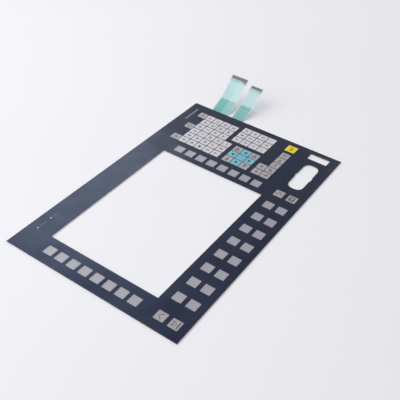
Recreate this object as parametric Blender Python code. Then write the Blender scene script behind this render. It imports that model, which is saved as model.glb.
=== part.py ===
"""Membrane keypad for a wide operator panel.

A bonded stack of films with a display cut-out, 95 key areas and two flat circuit tails.
The stack lies flat with its printed face up: +X runs to the tails, +Y to the top edge, +Z out of the face.
Lengths are in metres. Places on the face are given from its top left corner, to the right and down.
"""

import math
from collections import namedtuple

import bmesh
import bpy
from mathutils.geometry import tessellate_polygon

MM = 0.001

# Display cut-out and the bands of film left of it, above it and below it
DISPLAY_WIDTH = 272.2 * MM
DISPLAY_HEIGHT = 196.8 * MM
LEFT_BAND = 46.2 * MM
TOP_BAND = 44.2 * MM
BOTTOM_BAND = 65.0 * MM

# Films, from the back of the stack to its face
LINER_THICKNESS = 0.10 * MM
REAR_ADHESIVE_THICKNESS = 0.13 * MM
CIRCUIT_THICKNESS = 0.18 * MM
CIRCUIT_SPACER_THICKNESS = 0.20 * MM
DOME_SHEET_THICKNESS = 0.15 * MM
OVERLAY_THICKNESS = 0.25 * MM

# Snap domes and the pockets that they work in
DOME_DIAMETER = 10.0 * MM
DOME_RISE = 0.32 * MM
DOME_HEADROOM = 0.08 * MM
DOME_POCKET_CLEARANCE = 0.75 * MM
DOME_CROWN_SHARE = 0.62
DOME_SIDES = 6
CONTACT_OPENING = 8.5 * MM

# Printed and embossed key areas on the face
INK_THICKNESS = 0.05 * MM
EMBOSS_HEIGHT = 0.20 * MM
EMBOSS_SLOPE = 0.45 * MM
KEY_LINE = 1.1 * MM
FIELD_INSET = 0.15 * MM

# Soft keys in two columns beside the display and two rows below it, spread along its sides
SOFTKEY_SIZE = 16.0 * MM
SOFTKEYS_PER_LINE = 8
LEFT_COLUMN_TO_DISPLAY = 22.4 * MM
DISPLAY_TO_RIGHT_COLUMN = 19.6 * MM
DISPLAY_TO_UPPER_ROW = 22.0 * MM
ROW_SPACING = 23.2 * MM
COLUMN_START = 20.3 * MM
COLUMN_END = 21.8 * MM
ROW_START = 17.7 * MM
ROW_END = 15.8 * MM

# Keyboard blocks to the right of the display
KEY_PITCH = 17.0 * MM
LETTER_DROP = 26.9 * MM
DISPLAY_TO_BLOCKS = 39.3 * MM
BLOCKS_TO_EDGE = 20.3 * MM
LETTER_TO_CURSOR_KEYS = 7.4 * MM
CURSOR_TO_EDIT_KEYS = 7.3 * MM
CURSOR_TO_NUMBER_KEYS = 7.6 * MM
EDIT_TO_ENTER_KEY = 7.1 * MM
ENTER_WIDTH = 18.8 * MM
ENTER_HEIGHT = 18.6 * MM

# Key cells of each block, as (column, row) in key pitches from the block's corner
LETTER_CELLS = [(column, row) for row in range(1, 5) for column in range(6)]
LETTER_CELLS += [(column, 5) for column in range(3)]
LETTER_CELLS += [(0, 0), (2.5, 0), (5, 0)]
LETTER_OUTLINE = [(0, 0), (0, 6), (3, 6), (3, 5), (6, 5), (6, 0), (5, 0)]
LETTER_OUTLINE += [(5, 1), (3.5, 1), (3.5, 0), (2.5, 0), (2.5, 1), (1, 1), (1, 0)]
NUMBER_CELLS = [(column, row) for row in range(4) for column in range(3)]
NUMBER_OUTLINE = [(0, 0), (0, 4), (3, 4), (3, 0)]
CURSOR_CELLS = [(1, 0), (0, 1), (1, 1), (2, 1), (1, 2)]
CURSOR_OUTLINE = [(0, 1), (0, 2), (1, 2), (1, 3), (2, 3), (2, 2)]
CURSOR_OUTLINE += [(3, 2), (3, 1), (2, 1), (2, 0), (1, 0), (1, 1)]
PAGING_CELLS = [(0, 0), (2, 0), (0, 2), (2, 2)]
EDIT_CELLS = [(0, 0), (1, 0)] + [(column, 1) for column in range(5)]
EDIT_OUTLINE = [(0, 0), (0, 2), (5, 2), (5, 1), (2, 1), (2, 0)]

# Connector cut-out with a round widening at its middle, and slot for a narrow card
CONNECTOR_INDENT = 6.4 * MM
CONNECTOR_DROP = 31.6 * MM
CONNECTOR_TO_EDGE = 19.2 * MM
CONNECTOR_WIDTH = 74.6 * MM
CONNECTOR_HEIGHT = 26.6 * MM
CONNECTOR_CORNER = 10.5 * MM
CONNECTOR_BULGE = 1.5 * MM
CONNECTOR_TO_CARD_SLOT = 14.4 * MM
CARD_SLOT_LIFT = 1.9 * MM
CARD_SLOT_TO_EDGE = 11.1 * MM
CARD_SLOT_WIDTH = 15.8 * MM
CARD_SLOT_HEIGHT = 36.4 * MM
CORNER_STEPS = 3

# Indicator windows on the face, each above a lamp on the lower circuit
INDICATOR_DROP = 15.4 * MM
INDICATOR_INDENT = 1.3 * MM
INDICATOR_SPACING = 27.1 * MM
INDICATOR_DIAMETER = 3.2 * MM
INDICATOR_SIDES = 10
LAMP_LENGTH = 3.2 * MM
LAMP_WIDTH = 1.6 * MM
LAMP_HEADROOM = 0.12 * MM
LAMP_CLEARANCE = 0.8 * MM

# Circuit tails: tongues of the two circuit films
CONTACT_PITCH = 2.54 * MM
CONTACT_WIDTH = 1.5 * MM
CONTACT_LENGTH = 6.5 * MM
CONTACT_THICKNESS = 0.03 * MM
TAIL_MARGIN = 1.8 * MM
TAIL_ROOT = 1.0 * MM
TAIL_BEND_RADIUS = 8.0 * MM
TAIL_CREASE_RADIUS = 1.5 * MM
TAIL_COVER_THICKNESS = 0.06 * MM
STIFFENER_THICKNESS = 0.25 * MM
STIFFENER_LENGTH = 12.0 * MM
ROOT_BEND_STEPS = 3
CREASE_STEPS = 2

# Each tail leaves the right edge a distance below the top edge, rises, creases and rises on
WIDE_TAIL_CONTACTS = 13
WIDE_TAIL_DROP = 53.2 * MM
WIDE_TAIL_NEAR_LENGTH = 28.8 * MM
WIDE_TAIL_NEAR_SLOPE = math.radians(23.5)
WIDE_TAIL_FAR_LENGTH = 50.4 * MM
WIDE_TAIL_FAR_SLOPE = math.radians(41.2)
NARROW_TAIL_CONTACTS = 9
NARROW_TAIL_DROP = 92.0 * MM
NARROW_TAIL_NEAR_LENGTH = 27.5 * MM
NARROW_TAIL_NEAR_SLOPE = math.radians(22.0)
NARROW_TAIL_FAR_LENGTH = 47.0 * MM
NARROW_TAIL_FAR_SLOPE = math.radians(33.6)

# Finishes: colour, roughness, metallic
FINISHES = {
    "overlay_dark": ((0.030, 0.040, 0.065), 0.45, 0.0),
    "softkey_grey": ((0.40, 0.39, 0.44), 0.50, 0.0),
    "key_white": ((0.62, 0.61, 0.64), 0.50, 0.0),
    "key_grey": ((0.33, 0.33, 0.34), 0.50, 0.0),
    "key_cyan": ((0.15, 0.58, 0.68), 0.50, 0.0),
    "key_yellow": ((0.84, 0.66, 0.02), 0.50, 0.0),
    "clear_film": ((0.72, 0.76, 0.77), 0.30, 0.0),
    "teal_cover": ((0.24, 0.60, 0.52), 0.40, 0.0),
    "adhesive": ((0.78, 0.76, 0.70), 0.55, 0.0),
    "liner_paper": ((0.80, 0.76, 0.70), 0.70, 0.0),
    "stiffener_film": ((0.34, 0.32, 0.34), 0.45, 0.0),
    "lamp_body": ((0.80, 0.80, 0.76), 0.35, 0.0),
}


def stack_levels(*thicknesses):
    """Heights of the faces between films laid on each other from the ground up."""
    levels = [0.0]
    for thickness in thicknesses:
        levels.append(levels[-1] + thickness)
    return levels


DOME_SPACER_THICKNESS = DOME_RISE + DOME_HEADROOM
Tail = namedtuple("Tail", "drop contacts near_length near_slope far_length far_slope")
WIDE_TAIL = Tail(
    WIDE_TAIL_DROP,
    WIDE_TAIL_CONTACTS,
    WIDE_TAIL_NEAR_LENGTH,
    WIDE_TAIL_NEAR_SLOPE,
    WIDE_TAIL_FAR_LENGTH,
    WIDE_TAIL_FAR_SLOPE,
)
NARROW_TAIL = Tail(
    NARROW_TAIL_DROP,
    NARROW_TAIL_CONTACTS,
    NARROW_TAIL_NEAR_LENGTH,
    NARROW_TAIL_NEAR_SLOPE,
    NARROW_TAIL_FAR_LENGTH,
    NARROW_TAIL_FAR_SLOPE,
)

# Places on the face that follow from the display and the key pitch
DISPLAY_RIGHT = LEFT_BAND + DISPLAY_WIDTH
DISPLAY_BOTTOM = TOP_BAND + DISPLAY_HEIGHT
LEFT_COLUMN = LEFT_BAND - LEFT_COLUMN_TO_DISPLAY
RIGHT_COLUMN = DISPLAY_RIGHT + DISPLAY_TO_RIGHT_COLUMN
COLUMN_PITCH = (DISPLAY_HEIGHT - COLUMN_START - COLUMN_END) / (SOFTKEYS_PER_LINE - 1)
ROW_PITCH = (DISPLAY_WIDTH - ROW_START - ROW_END) / (SOFTKEYS_PER_LINE - 1)
UPPER_ROW = DISPLAY_BOTTOM + DISPLAY_TO_UPPER_ROW
LOWER_ROW = UPPER_ROW + ROW_SPACING
INDICATOR_COLUMNS = (LEFT_BAND + INDICATOR_INDENT, LEFT_BAND + INDICATOR_INDENT + INDICATOR_SPACING)
BLOCKS_LEFT = DISPLAY_RIGHT + DISPLAY_TO_BLOCKS
LETTER_COLUMNS, LETTER_ROWS = 6, 6
CURSOR_COLUMNS, CURSOR_ROWS = 3, 3
NUMBER_ROWS = 4
EDIT_COLUMNS, EDIT_ROWS = 5, 2
CURSOR_TOP = LETTER_DROP + LETTER_ROWS * KEY_PITCH + LETTER_TO_CURSOR_KEYS
CURSOR_BOTTOM = CURSOR_TOP + CURSOR_ROWS * KEY_PITCH
NUMBER_TOP = CURSOR_BOTTOM - NUMBER_ROWS * KEY_PITCH
NUMBER_LEFT = BLOCKS_LEFT + CURSOR_COLUMNS * KEY_PITCH + CURSOR_TO_NUMBER_KEYS
EDIT_TOP = CURSOR_BOTTOM + CURSOR_TO_EDIT_KEYS
EDIT_BOTTOM = EDIT_TOP + EDIT_ROWS * KEY_PITCH
ENTER_CENTRE = (
    BLOCKS_LEFT + EDIT_COLUMNS * KEY_PITCH + EDIT_TO_ENTER_KEY + ENTER_WIDTH / 2,
    EDIT_BOTTOM - ENTER_HEIGHT / 2,
)
CONNECTOR_CENTRE = (
    BLOCKS_LEFT + CONNECTOR_INDENT + CONNECTOR_WIDTH / 2,
    EDIT_BOTTOM + CONNECTOR_DROP + CONNECTOR_HEIGHT / 2,
)
CARD_SLOT_CENTRE = (
    CONNECTOR_CENTRE[0] + CONNECTOR_WIDTH / 2 + CONNECTOR_TO_CARD_SLOT + CARD_SLOT_WIDTH / 2,
    CONNECTOR_CENTRE[1] - CARD_SLOT_LIFT,
)
PANEL_WIDTH = max(
    BLOCKS_LEFT + LETTER_COLUMNS * KEY_PITCH + BLOCKS_TO_EDGE,
    CARD_SLOT_CENTRE[0] + CARD_SLOT_WIDTH / 2 + CARD_SLOT_TO_EDGE,
)
PANEL_HEIGHT = max(
    DISPLAY_BOTTOM + BOTTOM_BAND,
    CONNECTOR_CENTRE[1] + CONNECTOR_HEIGHT / 2 + CONNECTOR_TO_EDGE,
)
(
    LINER_BACK,
    LINER_FACE,
    LOWER_CIRCUIT_BACK,
    LOWER_CIRCUIT_FACE,
    UPPER_CIRCUIT_BACK,
    UPPER_CIRCUIT_FACE,
    DOME_SHEET_FACE,
    OVERLAY_BACK,
    OVERLAY_FACE,
) = stack_levels(
    LINER_THICKNESS,
    REAR_ADHESIVE_THICKNESS,
    CIRCUIT_THICKNESS,
    CIRCUIT_SPACER_THICKNESS,
    CIRCUIT_THICKNESS,
    DOME_SHEET_THICKNESS,
    DOME_SPACER_THICKNESS,
    OVERLAY_THICKNESS,
)


def tail_width(tail):
    """Width of a tail's film: its contacts and a bare margin on both sides."""
    return tail.contacts * CONTACT_PITCH + 2 * TAIL_MARGIN


def tail_stations(tail):
    """(distance from the panel's edge, height, slope) along the back of a tail, from its root to its end."""
    stations = [(0.0, 0.0, 0.0)]

    def straight(length):
        along, height, slope = stations[-1]
        stations.append((along + length * math.cos(slope), height + length * math.sin(slope), slope))

    def bend(radius, slope_after, steps):
        along, height, slope = stations[-1]
        for step in range(1, steps + 1):
            angle = slope + (slope_after - slope) * step / steps
            rise = radius * (math.cos(slope) - math.cos(angle))
            run = radius * (math.sin(angle) - math.sin(slope))
            stations.append((along + run, height + rise, angle))

    straight(TAIL_ROOT)
    bend(TAIL_BEND_RADIUS, tail.near_slope, ROOT_BEND_STEPS)
    straight(tail.near_length)
    bend(TAIL_CREASE_RADIUS, tail.far_slope, CREASE_STEPS)
    straight(tail.far_length - STIFFENER_LENGTH)
    straight(STIFFENER_LENGTH - CONTACT_LENGTH)
    straight(CONTACT_LENGTH)
    return stations


def tail_reach(tail):
    """How far a tail sticks out past the panel's edge."""
    along, _, slope = tail_stations(tail)[-1]
    return along + STIFFENER_THICKNESS * math.sin(slope)


OVERALL_LENGTH = PANEL_WIDTH + max(tail_reach(WIDE_TAIL), tail_reach(NARROW_TAIL))
PANEL_LEFT = -OVERALL_LENGTH / 2
PANEL_RIGHT = PANEL_LEFT + PANEL_WIDTH
PANEL_TOP = PANEL_HEIGHT / 2


def on_face(right, down):
    """Plan position of a place given from the face's top left corner."""
    return PANEL_LEFT + right, PANEL_TOP - down


def rectangle(centre, width, height):
    """Corners of an upright rectangle, counter-clockwise."""
    x, y = centre
    return [
        (x - width / 2, y - height / 2),
        (x + width / 2, y - height / 2),
        (x + width / 2, y + height / 2),
        (x - width / 2, y + height / 2),
    ]


def regular_polygon(centre, diameter, sides):
    """Corners of a round outline, counter-clockwise, with a flat side at the bottom."""
    radius = diameter / 2
    first = -math.pi / 2 - math.pi / sides
    angles = [first + 2 * math.pi * side / sides for side in range(sides)]
    return [(centre[0] + radius * math.cos(a), centre[1] + radius * math.sin(a)) for a in angles]


def arc(centre, radius, start, end, steps):
    """Points of an arc from one angle to another, ends included."""
    angles = [start + (end - start) * step / steps for step in range(steps + 1)]
    return [(centre[0] + radius * math.cos(a), centre[1] + radius * math.sin(a)) for a in angles]


def inset(outline, distance):
    """A counter-clockwise outline of upright and level edges, moved in by a distance."""
    moved = []
    for index, (x, y) in enumerate(outline):
        before = outline[index - 1]
        after = outline[(index + 1) % len(outline)]
        shift_x = shift_y = 0.0
        for (x0, y0), (x1, y1) in ((before, (x, y)), ((x, y), after)):
            length = math.hypot(x1 - x0, y1 - y0)
            shift_x -= (y1 - y0) / length * distance
            shift_y += (x1 - x0) / length * distance
        moved.append((x + shift_x, y + shift_y))
    return moved


def display_cutout():
    centre = on_face(LEFT_BAND + DISPLAY_WIDTH / 2, TOP_BAND + DISPLAY_HEIGHT / 2)
    return rectangle(centre, DISPLAY_WIDTH, DISPLAY_HEIGHT)


def card_slot_cutout():
    return rectangle(on_face(*CARD_SLOT_CENTRE), CARD_SLOT_WIDTH, CARD_SLOT_HEIGHT)


def connector_cutout():
    """Long hole with rounded ends, widened by a circle about its middle, counter-clockwise."""
    x, y = on_face(*CONNECTOR_CENTRE)
    half_width, half_height = CONNECTOR_WIDTH / 2, CONNECTOR_HEIGHT / 2
    corner_x, corner_y = half_width - CONNECTOR_CORNER, half_height - CONNECTOR_CORNER
    bulge_radius = half_height + CONNECTOR_BULGE
    crossing = math.asin(half_height / bulge_radius)
    quarter = math.pi / 2
    points = arc((x, y), bulge_radius, -math.pi + crossing, -crossing, CORNER_STEPS)
    points += arc((x + corner_x, y - corner_y), CONNECTOR_CORNER, -quarter, 0, CORNER_STEPS)
    points += arc((x + corner_x, y + corner_y), CONNECTOR_CORNER, 0, quarter, CORNER_STEPS)
    points += arc((x, y), bulge_radius, crossing, math.pi - crossing, CORNER_STEPS)
    points += arc((x - corner_x, y + corner_y), CONNECTOR_CORNER, quarter, 2 * quarter, CORNER_STEPS)
    points += arc((x - corner_x, y - corner_y), CONNECTOR_CORNER, 2 * quarter, 3 * quarter, CORNER_STEPS)
    return points


def cell_centre(left, top, cell):
    """Place on the face of a key cell's middle."""
    column, row = cell
    return left + (column + 0.5) * KEY_PITCH, top + (row + 0.5) * KEY_PITCH


BLOCKS = {
    "letter_keys": (BLOCKS_LEFT, LETTER_DROP, LETTER_CELLS, LETTER_OUTLINE, "key_white"),
    "number_keys": (NUMBER_LEFT, NUMBER_TOP, NUMBER_CELLS, NUMBER_OUTLINE, "key_white"),
    "cursor_keys": (BLOCKS_LEFT, CURSOR_TOP, CURSOR_CELLS, CURSOR_OUTLINE, "key_cyan"),
    "edit_keys": (BLOCKS_LEFT, EDIT_TOP, EDIT_CELLS, EDIT_OUTLINE, "key_grey"),
}


def single_keys():
    """{name: (place on the face, width, height, finish)} of the keys that stand by themselves."""
    keys = {}
    for number in range(1, SOFTKEYS_PER_LINE + 1):
        down = TOP_BAND + COLUMN_START + (number - 1) * COLUMN_PITCH
        right = LEFT_BAND + ROW_START + (number - 1) * ROW_PITCH
        keys[f"left_softkey_{number}"] = ((LEFT_COLUMN, down), "softkey_grey")
        keys[f"right_softkey_{number}"] = ((RIGHT_COLUMN, down), "softkey_grey")
        keys[f"upper_softkey_{number}"] = ((right, UPPER_ROW), "softkey_grey")
        keys[f"lower_softkey_{number}"] = ((right, LOWER_ROW), "softkey_grey")
    keys["left_corner_key_upper"] = ((LEFT_COLUMN, UPPER_ROW), "softkey_grey")
    keys["left_corner_key_lower"] = ((LEFT_COLUMN, LOWER_ROW), "softkey_grey")
    keys["right_corner_key_upper"] = ((RIGHT_COLUMN, UPPER_ROW), "softkey_grey")
    keys["right_corner_key_lower"] = ((RIGHT_COLUMN, LOWER_ROW), "softkey_grey")
    sized = {name: (place, SOFTKEY_SIZE, SOFTKEY_SIZE, finish) for name, (place, finish) in keys.items()}
    sized["enter_key"] = (ENTER_CENTRE, ENTER_WIDTH, ENTER_HEIGHT, "key_yellow")
    cell_size = KEY_PITCH - KEY_LINE
    for number, cell in enumerate(PAGING_CELLS, 1):
        place = cell_centre(BLOCKS_LEFT, CURSOR_TOP, cell)
        sized[f"paging_key_{number}"] = (place, cell_size, cell_size, "key_grey")
    return sized


def key_places():
    """Places on the face of all key middles."""
    places = [place for place, _, _, _ in single_keys().values()]
    for left, top, cells, _, _ in BLOCKS.values():
        places += [cell_centre(left, top, cell) for cell in cells]
    return places


def ring(bm, outline, height):
    """Vertices of a level outline."""
    return [bm.verts.new((x, y, height)) for x, y in outline]


def bridge(bm, low, high):
    """Wall between two rings of as many vertices."""
    for index in range(len(low)):
        after = (index + 1) % len(low)
        bm.faces.new((low[index], low[after], high[after], high[index]))


def fill(bm, outer, holes=()):
    """Flat face inside a ring, open at the rings of its holes."""
    rings = [outer, *holes]
    vertices = [vertex for each in rings for vertex in each]
    for corners in tessellate_polygon([[vertex.co for vertex in each] for each in rings]):
        bm.faces.new([vertices[corner] for corner in corners])


def finish_material(name):
    """Principled material of a finish, made once."""
    material = bpy.data.materials.get(name)
    if material is None:
        colour, roughness, metallic = FINISHES[name]
        material = bpy.data.materials.new(name)
        material.use_nodes = True
        shader = material.node_tree.nodes["Principled BSDF"]
        shader.inputs["Base Color"].default_value = (*colour, 1.0)
        shader.inputs["Roughness"].default_value = roughness
        shader.inputs["Metallic"].default_value = metallic
        material.diffuse_color = (*colour, 1.0)
    return material


def add_object(name, bm, finish, parent, place=(0.0, 0.0)):
    """Turns a bmesh into a named object at a plan position."""
    bmesh.ops.recalc_face_normals(bm, faces=bm.faces)
    mesh = bpy.data.meshes.new(name)
    bm.to_mesh(mesh)
    bm.free()
    mesh.materials.append(finish_material(finish))
    piece = bpy.data.objects.new(name, mesh)
    piece.location = (*place, 0.0)
    piece.parent = parent
    bpy.context.scene.collection.objects.link(piece)
    return piece


def cutouts():
    """The three openings that run through every film."""
    return [display_cutout(), connector_cutout(), card_slot_cutout()]


def lamp_wells():
    """Holes round the lamps in the films above the lower circuit."""
    width = LAMP_LENGTH + 2 * LAMP_CLEARANCE
    height = LAMP_WIDTH + 2 * LAMP_CLEARANCE
    return [rectangle(on_face(right, INDICATOR_DROP), width, height) for right in INDICATOR_COLUMNS]


def panel_outline():
    """Outline of the whole stack, counter-clockwise from its lower left corner."""
    middle = on_face(PANEL_WIDTH / 2, PANEL_HEIGHT / 2)
    return rectangle(middle, PANEL_WIDTH, PANEL_HEIGHT)


def plain_film(name, back, face, holes, finish, parent):
    """A flat film with straight-sided holes."""
    bm = bmesh.new()
    outlines = [panel_outline(), *holes]
    low = [ring(bm, outline, back) for outline in outlines]
    high = [ring(bm, outline, face) for outline in outlines]
    for below, above in zip(low, high):
        bridge(bm, below, above)
    fill(bm, low[0], low[1:])
    fill(bm, high[0], high[1:])
    return add_object(name, bm, finish, parent)


def tail_point(station, offset, base):
    """(x, z) of a point on a tail, a distance out from its back along the slope's normal."""
    along, height, slope = station
    return PANEL_RIGHT + along - offset * math.sin(slope), base + height + offset * math.cos(slope)


def tail_section(bm, station, low, high, base, bottom, top):
    """Four corners of a tail's cross-section: back, then face, each from its lower to its upper edge."""
    corners = []
    for offset in (low, high):
        x, z = tail_point(station, offset, base)
        corners.append([bm.verts.new((x, y, z)) for y in (bottom, top)])
    return corners


def tail_sides(tail):
    """Lower and upper edge of a tail in plan."""
    middle = PANEL_TOP - tail.drop
    return middle - tail_width(tail) / 2, middle + tail_width(tail) / 2


def join_sections(bm, first, second):
    """Back, face and both edges of a tail between two cross-sections."""
    (back_a, face_a), (back_b, face_b) = first, second
    bm.faces.new((back_a[0], back_b[0], back_b[1], back_a[1]))
    bm.faces.new((face_a[0], face_b[0], face_b[1], face_a[1]))
    for side in (0, 1):
        bm.faces.new((back_a[side], back_b[side], face_b[side], face_a[side]))


def contact_edges(tail):
    """Plan positions of the sides of a tail's contacts, from its lower edge up."""
    middle = PANEL_TOP - tail.drop
    edges = []
    for number in range(tail.contacts):
        centre = middle + (number - (tail.contacts - 1) / 2) * CONTACT_PITCH
        edges += [centre - CONTACT_WIDTH / 2, centre + CONTACT_WIDTH / 2]
    return edges


def contact_stretch(bm, tail, start, end, base, before):
    """Last stretch of a tail, with its raised contacts, joined to the cross-section before it."""
    bottom, top = tail_sides(tail)
    across = [bottom, *contact_edges(tail), top]
    rows = []
    for station in (start, end):
        x, z = tail_point(station, CIRCUIT_THICKNESS, base)
        rows.append([bm.verts.new((x, y, z)) for y in across])
    backs = []
    for station in (start, end):
        x, z = tail_point(station, 0.0, base)
        backs.append([bm.verts.new((x, y, z)) for y in (bottom, top)])
    back_before, face_before = before
    bm.faces.new((back_before[0], backs[0][0], backs[0][1], back_before[1]))
    bm.faces.new((face_before[0], *rows[0], face_before[1]))
    bm.faces.new((backs[0][0], backs[1][0], backs[1][1], backs[0][1]))
    for side, index in ((0, 0), (1, -1)):
        bm.faces.new((back_before[side], backs[0][side], rows[0][index], face_before[side]))
        bm.faces.new((backs[0][side], backs[1][side], rows[1][index], rows[0][index]))
    bm.faces.new((*backs[1], *reversed(rows[1])))
    strips = []
    for index in range(len(across) - 1):
        corners = (rows[0][index], rows[1][index], rows[1][index + 1], rows[0][index + 1])
        face = bm.faces.new(corners)
        if index % 2:
            strips.append(face)
    slope = end[2]
    raised = bmesh.ops.extrude_discrete_faces(bm, faces=strips)["faces"]
    vertices = {vertex for face in raised for vertex in face.verts}
    step = (-CONTACT_THICKNESS * math.sin(slope), 0.0, CONTACT_THICKNESS * math.cos(slope))
    bmesh.ops.translate(bm, verts=list(vertices), vec=step)


def circuit_film(name, back, face, holes, tail, parent):
    """A circuit film whose tail leaves the panel's right edge, in one piece."""
    bm = bmesh.new()
    bottom, top = tail_sides(tail)
    lower_left, lower_right, upper_right, upper_left = panel_outline()
    root = [(PANEL_RIGHT, bottom), (PANEL_RIGHT, top)]
    outline = [lower_left, lower_right, *root, upper_right, upper_left]
    root_side = outline.index(root[0])
    low = [ring(bm, each, back) for each in (outline, *holes)]
    high = [ring(bm, each, face) for each in (outline, *holes)]
    for below, above in zip(low, high):
        bridge(bm, below, above)
    root_back = [low[0][root_side], low[0][root_side + 1]]
    root_face = [high[0][root_side], high[0][root_side + 1]]
    bm.faces.remove(bm.faces.get((*root_back, *reversed(root_face))))
    fill(bm, low[0], low[1:])
    fill(bm, high[0], high[1:])
    stations = tail_stations(tail)
    section = (root_back, root_face)
    for station in stations[1:-2]:
        after = tail_section(bm, station, 0.0, CIRCUIT_THICKNESS, back, bottom, top)
        join_sections(bm, section, after)
        section = after
    contact_stretch(bm, tail, stations[-2], stations[-1], back, section)
    return add_object(name, bm, "clear_film", parent)


def tail_strip(name, tail, stations, low, high, width, base, finish, parent):
    """A strip bonded to a tail, between two offsets from the tail's back."""
    bm = bmesh.new()
    middle = PANEL_TOP - tail.drop
    sides = (middle - width / 2, middle + width / 2)
    sections = [tail_section(bm, station, low, high, base, *sides) for station in stations]
    for first, second in zip(sections, sections[1:]):
        join_sections(bm, first, second)
    for back, face in (sections[0], sections[-1]):
        bm.faces.new((*back, *reversed(face)))
    return add_object(name, bm, finish, parent)


def tail_cover(name, tail, base, parent):
    """Insulating cover on a tail's face, from its root to its contacts."""
    stations = tail_stations(tail)[1:-1]
    width = tail.contacts * CONTACT_PITCH
    low, high = CIRCUIT_THICKNESS, CIRCUIT_THICKNESS + TAIL_COVER_THICKNESS
    return tail_strip(name, tail, stations, low, high, width, base, "teal_cover", parent)


def tail_stiffener(name, tail, base, parent):
    """Stiffener on the back of a tail's end."""
    stations = tail_stations(tail)[-3:]
    width = tail_width(tail)
    return tail_strip(name, tail, stations, -STIFFENER_THICKNESS, 0.0, width, base, "stiffener_film", parent)


def dome_sheet(parent):
    """Film with a hollow snap dome formed at every key."""
    bm = bmesh.new()
    centres = [on_face(*place) for place in key_places()]
    crown = DOME_DIAMETER * DOME_CROWN_SHARE
    wall = 2 * DOME_SHEET_THICKNESS
    outlines = [panel_outline(), *cutouts(), *lamp_wells()]
    low = [ring(bm, outline, UPPER_CIRCUIT_FACE) for outline in outlines]
    high = [ring(bm, outline, DOME_SHEET_FACE) for outline in outlines]
    for below, above in zip(low, high):
        bridge(bm, below, above)
    for rings, level, narrower in ((low, UPPER_CIRCUIT_FACE, wall), (high, DOME_SHEET_FACE, 0.0)):
        feet = []
        for centre in centres:
            foot = ring(bm, regular_polygon(centre, DOME_DIAMETER - narrower, DOME_SIDES), level)
            top = ring(bm, regular_polygon(centre, crown - narrower, DOME_SIDES), level + DOME_RISE)
            bridge(bm, foot, top)
            bm.faces.new(top)
            feet.append(foot)
        fill(bm, rings[0], rings[1:] + feet)
    return add_object("dome_sheet", bm, "clear_film", parent)


def overlay(parent):
    """Face film: the dark printed front, with a slightly raised window over each lamp."""
    bm = bmesh.new()
    outlines = [panel_outline(), *cutouts()]
    low = [ring(bm, outline, OVERLAY_BACK) for outline in outlines]
    high = [ring(bm, outline, OVERLAY_FACE) for outline in outlines]
    for below, above in zip(low, high):
        bridge(bm, below, above)
    windows = []
    for right in INDICATOR_COLUMNS:
        outline = regular_polygon(on_face(right, INDICATOR_DROP), INDICATOR_DIAMETER, INDICATOR_SIDES)
        window = ring(bm, outline, OVERLAY_FACE)
        raised = ring(bm, outline, OVERLAY_FACE + INK_THICKNESS)
        bridge(bm, window, raised)
        bm.faces.new(raised)
        windows.append(window)
    fill(bm, low[0], low[1:])
    fill(bm, high[0], high[1:] + windows)
    return add_object("graphic_overlay", bm, "overlay_dark", parent)


def key_pad(bm, outline, level):
    """Embossed pad that rises from a ring at a level to the height of all keys; returns the ring."""
    foot = ring(bm, outline, level)
    top = ring(bm, inset(outline, EMBOSS_SLOPE), OVERLAY_FACE + INK_THICKNESS + EMBOSS_HEIGHT)
    bridge(bm, foot, top)
    bm.faces.new(top)
    return foot


def single_key(name, place, width, height, finish, parent):
    """One embossed key area, modelled about its own middle."""
    bm = bmesh.new()
    foot = key_pad(bm, rectangle((0.0, 0.0), width, height), OVERLAY_FACE)
    bm.faces.new(foot)
    return add_object(name, bm, finish, parent, on_face(*place))


def key_block(name, left, top, cells, corners, finish, parent):
    """A field of keys on one printed ground, with a narrow line left between the pads."""
    bm = bmesh.new()
    x, y = on_face(left, top)
    outline = inset([(column * KEY_PITCH, -row * KEY_PITCH) for column, row in corners], FIELD_INSET)
    base = ring(bm, outline, OVERLAY_FACE)
    ground = ring(bm, outline, OVERLAY_FACE + INK_THICKNESS)
    bridge(bm, base, ground)
    fill(bm, base)
    pad = KEY_PITCH - KEY_LINE
    feet = []
    for column, row in cells:
        centre = ((column + 0.5) * KEY_PITCH, -(row + 0.5) * KEY_PITCH)
        feet.append(key_pad(bm, rectangle(centre, pad, pad), OVERLAY_FACE + INK_THICKNESS))
    fill(bm, ground, feet)
    return add_object(name, bm, finish, parent, (x, y))


def lamp(name, right, parent):
    """Small surface lamp that stands on the lower circuit in its well."""
    bm = bmesh.new()
    outline = rectangle((0.0, 0.0), LAMP_LENGTH, LAMP_WIDTH)
    low = ring(bm, outline, LOWER_CIRCUIT_FACE)
    high = ring(bm, outline, OVERLAY_BACK - LAMP_HEADROOM)
    bridge(bm, low, high)
    fill(bm, low)
    fill(bm, high)
    return add_object(name, bm, "lamp_body", parent, on_face(right, INDICATOR_DROP))


def key_openings(size):
    """Square openings of one size at every key."""
    return [rectangle(on_face(*place), size, size) for place in key_places()]


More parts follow.
